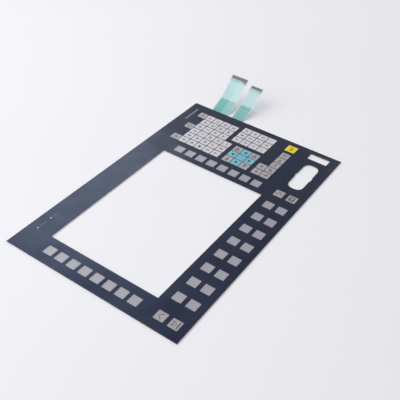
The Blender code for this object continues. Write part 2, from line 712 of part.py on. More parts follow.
def build():
    for old in list(bpy.data.objects):
        bpy.data.objects.remove(old)
    keypad = bpy.data.objects.new("keypad", None)
    bpy.context.scene.collection.objects.link(keypad)

    through = cutouts()
    wells = lamp_wells()
    plain_film("release_liner", LINER_BACK, LINER_FACE, through, "liner_paper", keypad)
    plain_film("rear_adhesive", LINER_FACE, LOWER_CIRCUIT_BACK, through, "adhesive", keypad)
    circuit_film("lower_circuit", LOWER_CIRCUIT_BACK, LOWER_CIRCUIT_FACE, through, WIDE_TAIL, keypad)
    contact_holes = through + wells + key_openings(CONTACT_OPENING)
    plain_film("circuit_spacer", LOWER_CIRCUIT_FACE, UPPER_CIRCUIT_BACK, contact_holes, "adhesive", keypad)
    upper_holes = through + wells
    circuit_film("upper_circuit", UPPER_CIRCUIT_BACK, UPPER_CIRCUIT_FACE, upper_holes, NARROW_TAIL, keypad)
    dome_sheet(keypad)
    pockets = through + wells + key_openings(DOME_DIAMETER + 2 * DOME_POCKET_CLEARANCE)
    plain_film("dome_spacer", DOME_SHEET_FACE, OVERLAY_BACK, pockets, "adhesive", keypad)
    overlay(keypad)

    lamp("left_lamp", INDICATOR_COLUMNS[0], keypad)
    lamp("right_lamp", INDICATOR_COLUMNS[1], keypad)
    tail_cover("wide_tail_cover", WIDE_TAIL, LOWER_CIRCUIT_BACK, keypad)
    tail_cover("narrow_tail_cover", NARROW_TAIL, UPPER_CIRCUIT_BACK, keypad)
    tail_stiffener("wide_tail_stiffener", WIDE_TAIL, LOWER_CIRCUIT_BACK, keypad)
    tail_stiffener("narrow_tail_stiffener", NARROW_TAIL, UPPER_CIRCUIT_BACK, keypad)

    for name, (place, width, height, finish) in single_keys().items():
        single_key(name, place, width, height, finish, keypad)
    for name, (left, top, cells, corners, finish) in BLOCKS.items():
        key_block(name, left, top, cells, corners, finish, keypad)


build()
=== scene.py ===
"""Looks of the membrane keypad.

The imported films, keys and tails are the frame. This script gives them their finishes, draws the keys with
soft embossed edges and plain generic legends, prints the circuit tails, and sets the table, the light and
the camera. Lengths are in metres in the part's own frame: +X runs to the tails, +Y to the top edge and
+Z out of the face.
"""

import math

import bmesh
import bpy
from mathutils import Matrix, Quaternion, Vector


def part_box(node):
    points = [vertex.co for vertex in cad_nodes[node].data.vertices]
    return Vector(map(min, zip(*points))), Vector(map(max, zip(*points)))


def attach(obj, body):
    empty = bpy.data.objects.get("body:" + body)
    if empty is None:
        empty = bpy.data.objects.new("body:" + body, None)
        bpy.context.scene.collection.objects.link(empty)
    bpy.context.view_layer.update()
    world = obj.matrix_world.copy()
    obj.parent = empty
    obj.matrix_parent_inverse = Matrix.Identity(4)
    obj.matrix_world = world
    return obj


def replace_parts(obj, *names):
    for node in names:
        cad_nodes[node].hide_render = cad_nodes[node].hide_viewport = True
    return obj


MM = 0.001
BODY = "root"

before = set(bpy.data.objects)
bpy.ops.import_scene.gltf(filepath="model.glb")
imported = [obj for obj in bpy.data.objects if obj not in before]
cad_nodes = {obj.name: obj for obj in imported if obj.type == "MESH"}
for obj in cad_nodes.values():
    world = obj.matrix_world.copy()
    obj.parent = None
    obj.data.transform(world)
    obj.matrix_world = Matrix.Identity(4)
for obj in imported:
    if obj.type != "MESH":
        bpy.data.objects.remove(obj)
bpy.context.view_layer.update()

# Camera, as the photograph was taken
CAMERA_PLACE = Vector((-0.6834, -0.4367, 0.6604))
CAMERA_TARGET = Vector((-0.0276, -0.0171, 0.0016))
CAMERA_ROLL = math.radians(3.29)
CAMERA_LENS = 57.97
CAMERA_SENSOR = 36.0
NEAREST_SEEN = 0.01

# Light: a wide soft source on the left, a large one behind that the film mirrors, a faint one behind on the
# right, and a pale room that is brighter on the left
LIGHTS = {
    "side_light": {"place": (-1.0, 1.1, 1.5), "aim": (0.0, 0.0, 0.0), "size": 2.0, "power": 22.0},
    "back_light": {"place": (1.85, 2.35, 2.35), "aim": (-0.1, 0.1, 0.0), "size": 1.6, "power": 23.5},
    "right_light": {"place": (1.55, 0.00, 0.92), "aim": (0.0, -0.15, 0.0), "size": 0.5, "power": 0.8},
}
LIGHT_COLOUR = (0.955, 0.960, 1.0)
ROOM_COLOUR = (0.985, 0.978, 1.0)
ROOM_DARK = 0.53
ROOM_BRIGHT = 0.74
ROOM_BRIGHT_SIDE = (-0.8, 0.6, -0.1)
ROOM_DARK_END = -0.6
ROOM_BRIGHT_END = 0.9

# Keys: levels and the cell grid are read from the frame
NUMBER_COLUMNS = 3
LETTER_COLUMNS = 6
FIELD_THICKNESS = 0.05 * MM
BLOCK_GAP = (1.80 * MM, 1.35 * MM)
PAD_CORNER = 0.9 * MM
CORNER_STEPS = 5
SHARPEST_CORNER = 0.15 * MM
INK_THICKNESS = 0.02 * MM
SAME_POINT = 0.001 * MM
STROKE = 1.15 * MM
PAGING_STROKE = 1.5 * MM
ENTER_STROKE = 1.4 * MM
FINE_CORNER_STROKE = 0.9 * MM
CORNER_STROKE = 1.2 * MM
BROAD_CORNER_STROKE = 1.7 * MM
SELECT_RING_RADIUS = 3.2 * MM
SELECT_RING_LINE = 0.6 * MM
RING_SIDES = 28
LETTER_HEIGHT = 5.3 * MM
LETTER_WEIGHT = 0.045
CAPITAL_SHARE = 0.70
LEAST_SHARP_EDGE = math.radians(50)

# Long waves and fine grain of the face, as patch size and height, and where the waves lie
WAVE_SHIFT = (0.010, -0.390, 0.0)
FACE_WAVES = (180 * MM, 5.5 * MM, WAVE_SHIFT)
FACE_GRAIN = (0.5 * MM, 0.006 * MM)
PRINT_GRAIN = (0.6 * MM, 0.008 * MM)
INK_GRAIN = (0.3 * MM, 0.004 * MM)

# Circuit tails: tracks and the relief of the print over them
TRACK_PITCH = 2.54 * MM
TRACK_RIDGE = 0.03 * MM
TRACK_STEPS = 6
TAIL_WAVES = (18 * MM, 0.25 * MM)
TAIL_GRAIN = (0.5 * MM, 0.005 * MM)
# Size of the paler streaks along the print: partly uneven print, partly painted highlight
STREAK_AND_HIGHLIGHT_SIZE = 9 * MM

# Contacts: their ink, the share of it that the print covers, and how far the first ones run on over it
CONTACT_WIDTH = 2.1 * MM
CONTACT_INK = 0.05 * MM
COVERED_SHARE = {"wide_tail": -1.0, "narrow_tail": 0.3}
COVER_EDGE = 0.3 * MM
LONG_CONTACT_SHARES = {"wide_tail": (0.85, 0.40, 0.40, 0.20), "narrow_tail": (0.30, 0.30)}
LONG_CONTACT_WIDTH = 1.5 * MM
LONG_CONTACT_LIFT = 0.13 * MM

# Print: where the painted shade of its near part ends past the crease and the painted lighter tone of its
# raised far part begins, the side that it is paler on, and a line of painted shade before a crease
SHADE_ENDS_PAST_CREASE = {"wide_tail": 0.4 * MM, "narrow_tail": 3.0 * MM}
SHADE_TO_LIGHT_FADE = {"wide_tail": 1.6 * MM, "narrow_tail": 5.0 * MM}
PALE_SIDE = {"wide_tail": (0.42, 0.66), "narrow_tail": (0.0, 2.2)}
LIT_PRINT_PALER = {"wide_tail": 0.0, "narrow_tail": 0.5}
# Painted shade: a dark line across the narrow tail's print just before its crease, its width and its colour
CREASE_SHADE_BEFORE_CREASE = {"narrow_tail": 1.5 * MM}
CREASE_SHADE_WIDTH = 1.3 * MM
CREASE_SHADE_COLOUR = (0.095, 0.330, 0.300)
LEAST_CREASE = 0.01

# Table
TABLE_SIZE = 9.0
TABLE_DROP = 0.15 * MM

# Noise: its detail, and the part of its range that most of its values lie in
NOISE_DETAIL = 2.0
NOISE_SPAN = (0.3, 0.7)

# Places of the colour sockets on a mix node
MIX_COLOURS_IN = (6, 7)
MIX_COLOUR_OUT = 2


def add_node(material, kind, **settings):
    """A node of a material, with its settings."""
    made = material.node_tree.nodes.new(kind)
    for name, value in settings.items():
        setattr(made, name, value)
    return made


def connect(material, output, target):
    material.node_tree.links.new(output, target)


def new_finish(name, colour, roughness, specular=0.5, alpha=1.0):
    """A material with constant values on its shader's sockets; returns it and its shader."""
    material = bpy.data.materials.new(name)
    material.use_nodes = True
    shader = material.node_tree.nodes["Principled BSDF"]
    shader.inputs["Base Color"].default_value = (*colour, 1.0)
    shader.inputs["Roughness"].default_value = roughness
    shader.inputs["Specular IOR Level"].default_value = specular
    shader.inputs["Alpha"].default_value = alpha
    material.diffuse_color = (*colour, 1.0)
    return material, shader


def object_place(material):
    """Socket with the place on the object, in metres."""
    return add_node(material, "ShaderNodeTexCoord").outputs["Object"]


def noise(material, size, moved_by=None):
    """Socket with a soft random value from 0 to 1 whose patches are about that size."""
    texture = add_node(material, "ShaderNodeTexNoise")
    texture.inputs["Scale"].default_value = 1.0 / size
    texture.inputs["Detail"].default_value = NOISE_DETAIL
    place = object_place(material)
    if moved_by is not None:
        move = add_node(material, "ShaderNodeVectorMath", operation="ADD")
        move.inputs[1].default_value = moved_by
        connect(material, place, move.inputs[0])
        place = move.outputs["Vector"]
    connect(material, place, texture.inputs["Vector"])
    return texture.outputs["Fac"]


def blend_colours(material, factor, low, high, first=0.0, last=1.0):
    """Socket with a colour that goes from low to high as the factor goes from first to last."""
    ramp = add_node(material, "ShaderNodeValToRGB")
    ramp.color_ramp.elements[0].position = first
    ramp.color_ramp.elements[0].color = (*low, 1.0)
    ramp.color_ramp.elements[1].position = last
    ramp.color_ramp.elements[1].color = (*high, 1.0)
    connect(material, factor, ramp.inputs["Fac"])
    return ramp.outputs["Color"]


def share_between(material, value, first, last, interpolation="LINEAR", low=0.0, high=1.0):
    """Socket that goes from low to high as a value goes from first to last."""
    spread = add_node(material, "ShaderNodeMapRange", interpolation_type=interpolation)
    spread.inputs["From Min"].default_value = first
    spread.inputs["From Max"].default_value = last
    spread.inputs["To Min"].default_value = low
    spread.inputs["To Max"].default_value = high
    connect(material, value, spread.inputs["Value"])
    return spread.outputs["Result"]


def sum_of(material, first, second):
    """Socket with the sum of two values."""
    total = add_node(material, "ShaderNodeMath", operation="ADD")
    connect(material, first, total.inputs[0])
    connect(material, second, total.inputs[1])
    return total.outputs["Value"]


def mix_colours(material, factor, low, high):
    """Socket that goes from one colour socket to a second one, or to a fixed colour, with a factor."""
    mix = add_node(material, "ShaderNodeMix", data_type="RGBA")
    colour_a, colour_b = (mix.inputs[place] for place in MIX_COLOURS_IN)
    connect(material, factor, mix.inputs["Factor"])
    connect(material, low, colour_a)
    if isinstance(high, tuple):
        colour_b.default_value = (*high, 1.0)
    else:
        connect(material, high, colour_b)
    return mix.outputs[MIX_COLOUR_OUT]


def mottle(material, shader, colour, size, spread):
    """Varies the base colour a little, as uneven print does."""
    darker = [value * (1.0 - spread) for value in colour]
    lighter = [value * (1.0 + spread) for value in colour]
    varied = blend_colours(material, noise(material, size), darker, lighter, *NOISE_SPAN)
    connect(material, varied, shader.inputs["Base Color"])


def vary_roughness(material, shader, size, low, high):
    """Varies the roughness between two values."""
    varied = share_between(material, noise(material, size), *NOISE_SPAN, low=low, high=high)
    connect(material, varied, shader.inputs["Roughness"])


def relief(material, shader, *layers):
    """Bump from layers of (patch size, height), or of (patch size, height, shift of the patches)."""
    normal = None
    for size, height, *moved_by in layers:
        bump = add_node(material, "ShaderNodeBump")
        bump.inputs["Strength"].default_value = 1.0
        bump.inputs["Distance"].default_value = height
        connect(material, noise(material, size, *moved_by), bump.inputs["Height"])
        if normal is not None:
            connect(material, normal, bump.inputs["Normal"])
        normal = bump.outputs["Normal"]
    connect(material, normal, shader.inputs["Normal"])


def dark_print():
    """Satin blue-grey film of the face: fine grain, and long shallow waves that bend its reflections."""
    colour = (0.008, 0.0105, 0.024)
    material, shader = new_finish("overlay_finish", colour, 0.28, specular=0.45)
    shader.inputs["Specular Tint"].default_value = (0.45, 0.62, 1.0, 1.0)
    mottle(material, shader, colour, 60 * MM, 0.08)
    vary_roughness(material, shader, 25 * MM, 0.25, 0.32)
    relief(material, shader, FACE_WAVES, FACE_GRAIN)
    return material


def key_print(name, colour, roughness=0.38, specular=0.75, uneven=0.03):
    """Satin print of a key: slightly uneven colour and a fine screen-print grain."""
    material, shader = new_finish(name, colour, roughness, specular)
    mottle(material, shader, colour, 3 * MM, uneven)
    vary_roughness(material, shader, 8 * MM, roughness - 0.05, roughness + 0.05)
    relief(material, shader, PRINT_GRAIN)
    return material


def ink(name, colour, roughness=0.45):
    """Printed line or letter."""
    material, shader = new_finish(name, colour, roughness, specular=0.3)
    mottle(material, shader, colour, 1.5 * MM, 0.10)
    relief(material, shader, INK_GRAIN)
    return material


def clear_film():
    """Clear polyester: partly see-through, glossy, with faint haze."""
    colour = (0.82, 0.83, 0.88)
    material, shader = new_finish("clear_film_finish", colour, 0.22, specular=0.6, alpha=0.25)
    vary_roughness(material, shader, 12 * MM, 0.16, 0.30)
    relief(material, shader, (30 * MM, 0.15 * MM))
    return material


def soft_layer(name, colour, roughness, grain):
    """Edge of a paper or adhesive layer."""
    material, shader = new_finish(name, colour, roughness, specular=0.3)
    mottle(material, shader, colour, 4 * MM, 0.06)
    relief(material, shader, (grain, 0.02 * MM))
    return material


def tail_print(lit_from, fade, pale_side, lit_paler, crease_shade):
    """Teal insulating print, paler between tracks, with painted light along its length: painted shade on
    the part near the panel, and a painted lighter tone past an X place, where the tail rises more steeply.

    One turns into the other over the length of fade. The print is paler towards the second of the two Y
    places in pale_side, and in its lit far part paler by a further amount. A line of painted shade, where
    there is one, is a darker line at an X place before the crease.
    """
    # The first two colours are the near part with painted shade, the last two the far part painted lighter,
    # as lit
    shaded_print = (0.150, 0.523, 0.442)
    shaded_print_pale = (0.375, 0.749, 0.748)
    lit_print = (0.486, 0.790, 0.734)
    lit_print_pale = (0.649, 0.898, 0.897)
    palest = 2.0
    evenly_toned = 0.45
    material, shader = new_finish("tail_print_finish", lit_print, 0.38, specular=0.45, alpha=0.62)
    place = add_node(material, "ShaderNodeSeparateXYZ")
    connect(material, object_place(material), place.inputs["Vector"])
    stripes = add_node(material, "ShaderNodeMath", operation="PINGPONG")
    stripes.inputs[1].default_value = TRACK_PITCH / 2
    connect(material, place.outputs["Y"], stripes.inputs[0])
    lines = share_between(material, stripes.outputs["Value"], 0.0, TRACK_PITCH)
    # Paler streaks along the tail: partly uneven print, partly painted highlight
    streaks_and_highlights = add_node(material, "ShaderNodeTexNoise", noise_dimensions="1D")
    streaks_and_highlights.inputs["Scale"].default_value = 1.0 / STREAK_AND_HIGHLIGHT_SIZE
    connect(material, place.outputs["Y"], streaks_and_highlights.inputs["W"])
    side = share_between(material, place.outputs["Y"], *pale_side, "SMOOTHSTEP")
    paleness = sum_of(material, sum_of(material, lines, streaks_and_highlights.outputs["Fac"]), side)
    near_share = share_between(material, paleness, evenly_toned, palest)
    near = blend_colours(material, near_share, shaded_print, shaded_print_pale)
    far_share = share_between(material, paleness, evenly_toned - lit_paler, palest - lit_paler)
    far = blend_colours(material, far_share, lit_print, lit_print_pale)
    # Painted light: the shaded near part turns into the lit far part past the crease
    past = share_between(material, place.outputs["X"], lit_from - fade / 2, lit_from + fade / 2)
    colour = mix_colours(material, past, near, far)
    # Painted shade: a darker line across the print just before the crease
    if crease_shade is not None:
        in_crease_shade = add_node(material, "ShaderNodeMath", operation="COMPARE")
        in_crease_shade.inputs[1].default_value = crease_shade
        in_crease_shade.inputs[2].default_value = CREASE_SHADE_WIDTH / 2
        connect(material, place.outputs["X"], in_crease_shade.inputs[0])
        colour = mix_colours(material, in_crease_shade.outputs["Value"], colour, CREASE_SHADE_COLOUR)
    connect(material, colour, shader.inputs["Base Color"])
    relief(material, shader, TAIL_WAVES, TAIL_GRAIN)
    return material


def contact_ink(name, covered_to):
    """Dark ink of a tail's contacts, still under the teal print up to an X place."""
    bare = (0.155, 0.144, 0.155)
    covered = (0.160, 0.390, 0.360)
    material, shader = new_finish(name, bare, 0.4, specular=0.3)
    place = add_node(material, "ShaderNodeSeparateXYZ")
    connect(material, object_place(material), place.inputs["Vector"])
    past = share_between(material, place.outputs["X"], covered_to - COVER_EDGE, covered_to + COVER_EDGE)
    colour = blend_colours(material, past, covered, bare)
    connect(material, colour, shader.inputs["Base Color"])
    relief(material, shader, INK_GRAIN)
    return material


def table_finish():
    """Pale matte table top."""
    colour = (0.875, 0.878, 0.895)
    material, shader = new_finish("table_finish", colour, 0.65, specular=0.15)
    mottle(material, shader, colour, 0.5, 0.006)
    return material


def bridge(bm, low, high):
    """Wall between two rings of as many vertices."""
    for index in range(len(low)):
        after = (index + 1) % len(low)
        bm.faces.new((low[index], low[after], high[after], high[index]))


def ring(bm, outline, height):
    return [bm.verts.new((x, y, height)) for x, y in outline]


def stamp(bm, outline, base, thickness):
    """A thin plate of any outline."""
    low = ring(bm, outline, base)
    high = ring(bm, outline, base + thickness)
    bridge(bm, low, high)
    bm.faces.new(high)
    bm.faces.new(reversed(low))


def stamp_ring(bm, centre, radius, width, base, thickness):
    """A thin flat ring."""
    loops = []
    for reach, height in (
        (radius + width / 2, base),
        (radius + width / 2, base + thickness),
        (radius - width / 2, base + thickness),
        (radius - width / 2, base),
    ):
        angles = [2 * math.pi * side / RING_SIDES for side in range(RING_SIDES)]
        outline = [(centre[0] + reach * math.cos(a), centre[1] + reach * math.sin(a)) for a in angles]
        loops.append(ring(bm, outline, height))
    for index, loop in enumerate(loops):
        bridge(bm, loop, loops[(index + 1) % len(loops)])


def add_piece(name, bm, material, smooth=False):
    """Turns a bmesh into a named piece that rides on the keypad."""
    bmesh.ops.recalc_face_normals(bm, faces=bm.faces)
    mesh = bpy.data.meshes.new(name)
    bm.to_mesh(mesh)
    bm.free()
    if smooth:
        mesh.shade_smooth()
        mesh.set_sharp_from_angle(angle=LEAST_SHARP_EDGE)
    mesh.materials.append(material)
    piece = bpy.data.objects.new(name, mesh)
    bpy.context.scene.collection.objects.link(piece)
    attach(piece, BODY)
    return piece


def rounded_rectangle(centre, width, height, radius):
    """Outline of an upright rectangle with round corners, counter-clockwise."""
    points = []
    for quarter, (side_x, side_y) in enumerate(((1, -1), (1, 1), (-1, 1), (-1, -1))):
        x = centre[0] + side_x * (width / 2 - radius)
        y = centre[1] + side_y * (height / 2 - radius)
        for step in range(CORNER_STEPS + 1):
            angle = math.pi / 2 * (quarter - 1 + step / CORNER_STEPS)
            points.append((x + radius * math.cos(angle), y + radius * math.sin(angle)))
    return points


# Section of an embossed key, as (distance in from its edge, share of its height)
EMBOSS = ((0.0, 0.0), (0.04, 0.5), (0.14, 0.84), (0.34, 1.0), (0.70, 1.0), (1.10, 0.88))
EMBOSS_DISH = EMBOSS[-1][1]


def add_pad(bm, centre, width, height, foot, top):
    """An embossed key with a rolled rim and a slightly lower middle."""
    rings = []
    for inset, share in EMBOSS:
        inset *= MM
        radius = max(PAD_CORNER - inset, SHARPEST_CORNER)
        outline = rounded_rectangle(centre, width - 2 * inset, height - 2 * inset, radius)
        rings.append(ring(bm, outline, foot + share * (top - foot)))
    for low, high in zip(rings, rings[1:]):
        bridge(bm, low, high)
    bm.faces.new(rings[-1])
    bm.faces.new(reversed(rings[0]))


def middle(node):
    low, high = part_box(node)
    return (low + high) / 2


def width_of(node):
    low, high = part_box(node)
    return high.x - low.x


FACE_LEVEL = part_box("left_softkey_1")[0].z
KEY_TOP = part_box("left_softkey_1")[1].z
KEY_PITCH = (width_of("letter_keys") - width_of("number_keys")) / (LETTER_COLUMNS - NUMBER_COLUMNS)
FIELD_INSET = (NUMBER_COLUMNS * KEY_PITCH - width_of("number_keys")) / 2
FIELD_LEVEL = FACE_LEVEL + FIELD_THICKNESS
PAD_LEVEL = FACE_LEVEL + EMBOSS_DISH * (KEY_TOP - FACE_LEVEL)
BLOCK_PAD_LEVEL = FIELD_LEVEL + EMBOSS_DISH * (KEY_TOP - FIELD_LEVEL)


def cell_place(node, column, row):
    """Plan position of a cell's middle in a block of keys."""
    low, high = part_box(node)
    x = low.x - FIELD_INSET + (column + 0.5) * KEY_PITCH
    y = high.y + FIELD_INSET - (row + 0.5) * KEY_PITCH
    return x, y


# Blocks of keys: outline of the printed field, in cells from its top left corner
FIELDS = {
    "letter_keys": [
        (0, 0), (0, 6), (3, 6), (3, 5), (6, 5), (6, 0), (5, 0),
        (5, 1), (3.5, 1), (3.5, 0), (2.5, 0), (2.5, 1), (1, 1), (1, 0),
    ],
    "number_keys": [(0, 0), (0, 4), (3, 4), (3, 0)],
    "cursor_keys": [
        (0, 1), (0, 2), (1, 2), (1, 3), (2, 3), (2, 2),
        (3, 2), (3, 1), (2, 1), (2, 0), (1, 0), (1, 1),
    ],
    "edit_keys": [(0, 0), (0, 2), (5, 2), (5, 1), (2, 1), (2, 0)],
}
LETTER_CELLS = [(column, row) for row in range(1, 5) for column in range(6)]
LETTER_CELLS += [(column, 5) for column in range(3)]
FUNCTION_CELLS = [(0, 0), (2.5, 0), (5, 0)]
NUMBER_CELLS = [(column, row) for row in range(4) for column in range(3)]
CURSOR_CELLS = [(1, 0), (0, 1), (1, 1), (2, 1), (1, 2)]
EDIT_CELLS = [(0, 0), (1, 0)] + [(column, 1) for column in range(5)]


def inset_outline(outline, distance):
    """A counter-clockwise outline of upright and level edges, moved in by a distance."""
    moved = []
    for index, (x, y) in enumerate(outline):
        shift = [0.0, 0.0]
        neighbours = (outline[index - 1], (x, y)), ((x, y), outline[(index + 1) % len(outline)])
        for (x0, y0), (x1, y1) in neighbours:
            length = math.hypot(x1 - x0, y1 - y0)
            shift[0] -= (y1 - y0) / length * distance
            shift[1] += (x1 - x0) / length * distance
        moved.append((x + shift[0], y + shift[1]))
    return moved


def add_field(name, node, material):
    """Printed ground of a block of keys; its lines show between the keys."""
    bm = bmesh.new()
    low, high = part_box(node)
    left, top = low.x - FIELD_INSET, high.y + FIELD_INSET
    corners = [(left + column * KEY_PITCH, top - row * KEY_PITCH) for column, row in FIELDS[node]]
    stamp(bm, inset_outline(corners, FIELD_INSET), FACE_LEVEL, FIELD_THICKNESS)
    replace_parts(add_piece(name, bm, material), node)


def add_block_pads(name, node, cells, material):
    """The embossed keys of a block that share one colour."""
    bm = bmesh.new()
    width, height = (KEY_PITCH - gap for gap in BLOCK_GAP)
    for column, row in cells:
        add_pad(bm, cell_place(node, column, row), width, height, FIELD_LEVEL, KEY_TOP)
    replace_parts(add_piece(name, bm, material, smooth=True), node)


def add_single_pad(node, material):
    """The embossed key that stands for a single key's node."""
    low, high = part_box(node)
    bm = bmesh.new()
    centre = ((low.x + high.x) / 2, (low.y + high.y) / 2)
    add_pad(bm, centre, high.x - low.x, high.y - low.y, FACE_LEVEL, KEY_TOP)
    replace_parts(add_piece(node + "_pad", bm, material, smooth=True), node)


def stroke_outline(points, width):
    """Outline of a line of a width through some points, with mitred bends."""
    left, right = [], []
    for index, point in enumerate(points):
        before = (point - points[index - 1]).normalized() if index else None
        after = (points[index + 1] - point).normalized() if index + 1 < len(points) else None
        before = before or after
        after = after or before
        tangent = (before + after).normalized()
        normal = Vector((-tangent.y, tangent.x))
        reach = width / 2 / normal.dot(Vector((-before.y, before.x)))
        left.append(point + normal * reach)
        right.append(point - normal * reach)
    return [tuple(point) for point in right + left[::-1]]


# Plain generic signs, in millimetres from the middle of their key: open lines, and filled shapes
LINES = {
    "list": [[(-4, 2.4), (4, 2.4)], [(-4, 0), (4, 0)], [(-4, -2.4), (2, -2.4)]],
    "box": [[(-3.4, -2.8), (-3.4, 2.8), (3.4, 2.8), (3.4, -2.8), (-3.8, -2.8)]],
    "space": [[(-3.6, 0.6), (-3.6, -1.4), (3.6, -1.4), (3.6, 0.6)]],
    "pages_up": [[(-4.4, -2.8), (-4.4, 3.2), (-0.4, 3.2), (-0.4, -2.8), (-4.8, -2.8)],
                 [(1.2, -0.4), (3.2, 2.2), (5.2, -0.4)]],
    "pages_down": [[(-4.4, -2.8), (-4.4, 3.2), (-0.4, 3.2), (-0.4, -2.8), (-4.8, -2.8)],
                   [(1.2, 1.0), (3.2, -1.6), (5.2, 1.0)]],
    "to_start": [[(-4, 3), (-4, -3)], [(4.4, 0), (-2, 0)], [(0.2, 2.2), (-2.2, 0), (0.2, -2.2)]],
    "to_end": [[(4, 3), (4, -3)], [(-4.4, 0), (2, 0)], [(-0.2, 2.2), (2.2, 0), (-0.2, -2.2)]],
    "back": [[(4.4, 0), (-3, 0)], [(-0.8, 2.4), (-3.4, 0), (-0.8, -2.4)]],
    "cross": [[(-2.6, -2.6), (2.6, 2.6)], [(-2.6, 2.6), (2.6, -2.6)]],
    "insert": [[(-3.6, -3), (3.6, -3)], [(0, 4), (0, -1.4)], [(-2, 0.6), (0, -1.8), (2, 0.6)]],
    "swap": [[(-4, 1.4), (3, 1.4)], [(1.2, 3.4), (3.4, 1.4), (1.2, 0.2)],
             [(4, -1.6), (-3, -1.6)], [(-1.2, -0.4), (-3.4, -1.6), (-1.2, -3.6)]],
    "two_bars": [[(-4.2, 1.5), (4.2, 1.5)], [(-4.2, -1.5), (4.2, -1.5)]],
    "tab": [[(-4.4, 1.8), (2.6, 1.8)], [(0.6, 3.6), (2.8, 1.8), (0.6, 0)], [(-4.4, -2.6), (4.4, -2.6)]],
    "enter": [[(5.2, 4.0), (5.2, -0.6), (-3.8, -0.6)], [(-0.6, 2.8), (-4.2, -0.6), (-0.6, -4.0)]],
    "up": [[(-5.4, -2.4), (0, 3.4), (5.4, -2.4)]],
    "right": [[(-2.6, 5.0), (3.2, 0), (-2.6, -5.0)]],
    "step_under": [[(-3.4, 0.4), (-3.4, 4.8), (0, 2.0), (3.4, 4.8), (3.4, 0.4)],
                   [(-1.8, -1.4), (1.8, -1.4)]],
    "window": [[(-4.4, -3.6), (-4.4, 4.2), (4.4, 4.2), (4.4, -3.6), (-4.8, -3.6)],
               [(-1.2, 4.2), (-1.2, -3.6)]],
}
SHAPES = {
    "arrow_up": [[(-3.5, -2.6), (3.5, -2.6), (0, 3.4)]],
    "arrow_down": [[(-3.5, 2.6), (0, -3.4), (3.5, 2.6)]],
    "arrow_left": [[(2.6, -3.5), (2.6, 3.5), (-3.4, 0)]],
    "arrow_right": [[(-2.6, -3.5), (3.4, 0), (-2.6, 3.5)]],
    "bar_under": [[(-6.0, -5.6), (6.0, -5.6), (6.0, -3.9), (-6.0, -3.9)]],
}


def add_sign(bm, name, centre, base, stroke=STROKE):
    """Adds a sign's lines and shapes to a key, as thin ink."""
    at = Vector(centre)
    for line in LINES.get(name, []):
        points = [at + Vector(point) * MM for point in line]
        stamp(bm, stroke_outline(points, stroke), base, INK_THICKNESS)
    for shape in SHAPES.get(name, []):
        stamp(bm, [tuple(at + Vector(point) * MM) for point in shape], base, INK_THICKNESS)


def add_letter(bm, letter, centre, height, base):
    """Adds one plain letter or figure, centred, as thin ink."""
    curve = bpy.data.curves.new("letter", "FONT")
    curve.body = letter
    curve.size = 1.0
    curve.resolution_u = 3
    curve.extrude = 0.5
    curve.offset = LETTER_WEIGHT
    text = bpy.data.objects.new("letter", curve)
    bpy.context.scene.collection.objects.link(text)
    graph = bpy.context.evaluated_depsgraph_get()
    mesh = bpy.data.meshes.new_from_object(text.evaluated_get(graph))
    corners = [vertex.co for vertex in mesh.vertices]
    low = Vector(map(min, *corners))
    high = Vector(map(max, *corners))
    scale = height / CAPITAL_SHARE
    for vertex in mesh.vertices:
        vertex.co.x = centre[0] + (vertex.co.x - (low.x + high.x) / 2) * scale
        vertex.co.y = centre[1] + (vertex.co.y - (low.y + high.y) / 2) * scale
        vertex.co.z = base + (vertex.co.z + 0.5) * INK_THICKNESS
    bm.from_mesh(mesh)
    bpy.data.objects.remove(text)
    bpy.data.curves.remove(curve)
    bpy.data.meshes.remove(mesh)


def add_legends(name, node, cells, signs, material):
    """Legends of a block of keys, one sign, letter or figure to a key."""
    bm = bmesh.new()
    for (column, row), sign in zip(cells, signs):
        centre = cell_place(node, column, row)
        if sign in LINES or sign in SHAPES:
            add_sign(bm, sign, centre, BLOCK_PAD_LEVEL)
        else:
            add_letter(bm, sign, centre, LETTER_HEIGHT, BLOCK_PAD_LEVEL)
    bmesh.ops.remove_doubles(bm, verts=bm.verts, dist=SAME_POINT)
    add_piece(name, bm, material)


def dress_films():
    """Finishes of the films in the stack."""
    overlay = dark_print()
    film = clear_film()
    bond = soft_layer("adhesive_finish", (0.74, 0.71, 0.66), 0.6, 0.5 * MM)
    liner = soft_layer("liner_finish", (0.80, 0.74, 0.69), 0.7, 0.3 * MM)
    stiffener = soft_layer("stiffener_finish", (0.78, 0.77, 0.80), 0.4, 0.8 * MM)
    lamp = soft_layer("lamp_finish", (0.82, 0.82, 0.78), 0.4, 0.4 * MM)
    finishes = {
        "graphic_overlay": overlay,
        "lower_circuit": film,
        "upper_circuit": film,
        "dome_sheet": film,
        "rear_adhesive": bond,
        "circuit_spacer": bond,
        "dome_spacer": bond,
        "release_liner": liner,
        "wide_tail_stiffener": stiffener,
        "narrow_tail_stiffener": stiffener,
        "left_lamp": lamp,
        "right_lamp": lamp,
    }
    for node, material in finishes.items():
        cad_nodes[node].data.materials.clear()
        cad_nodes[node].data.materials.append(material)


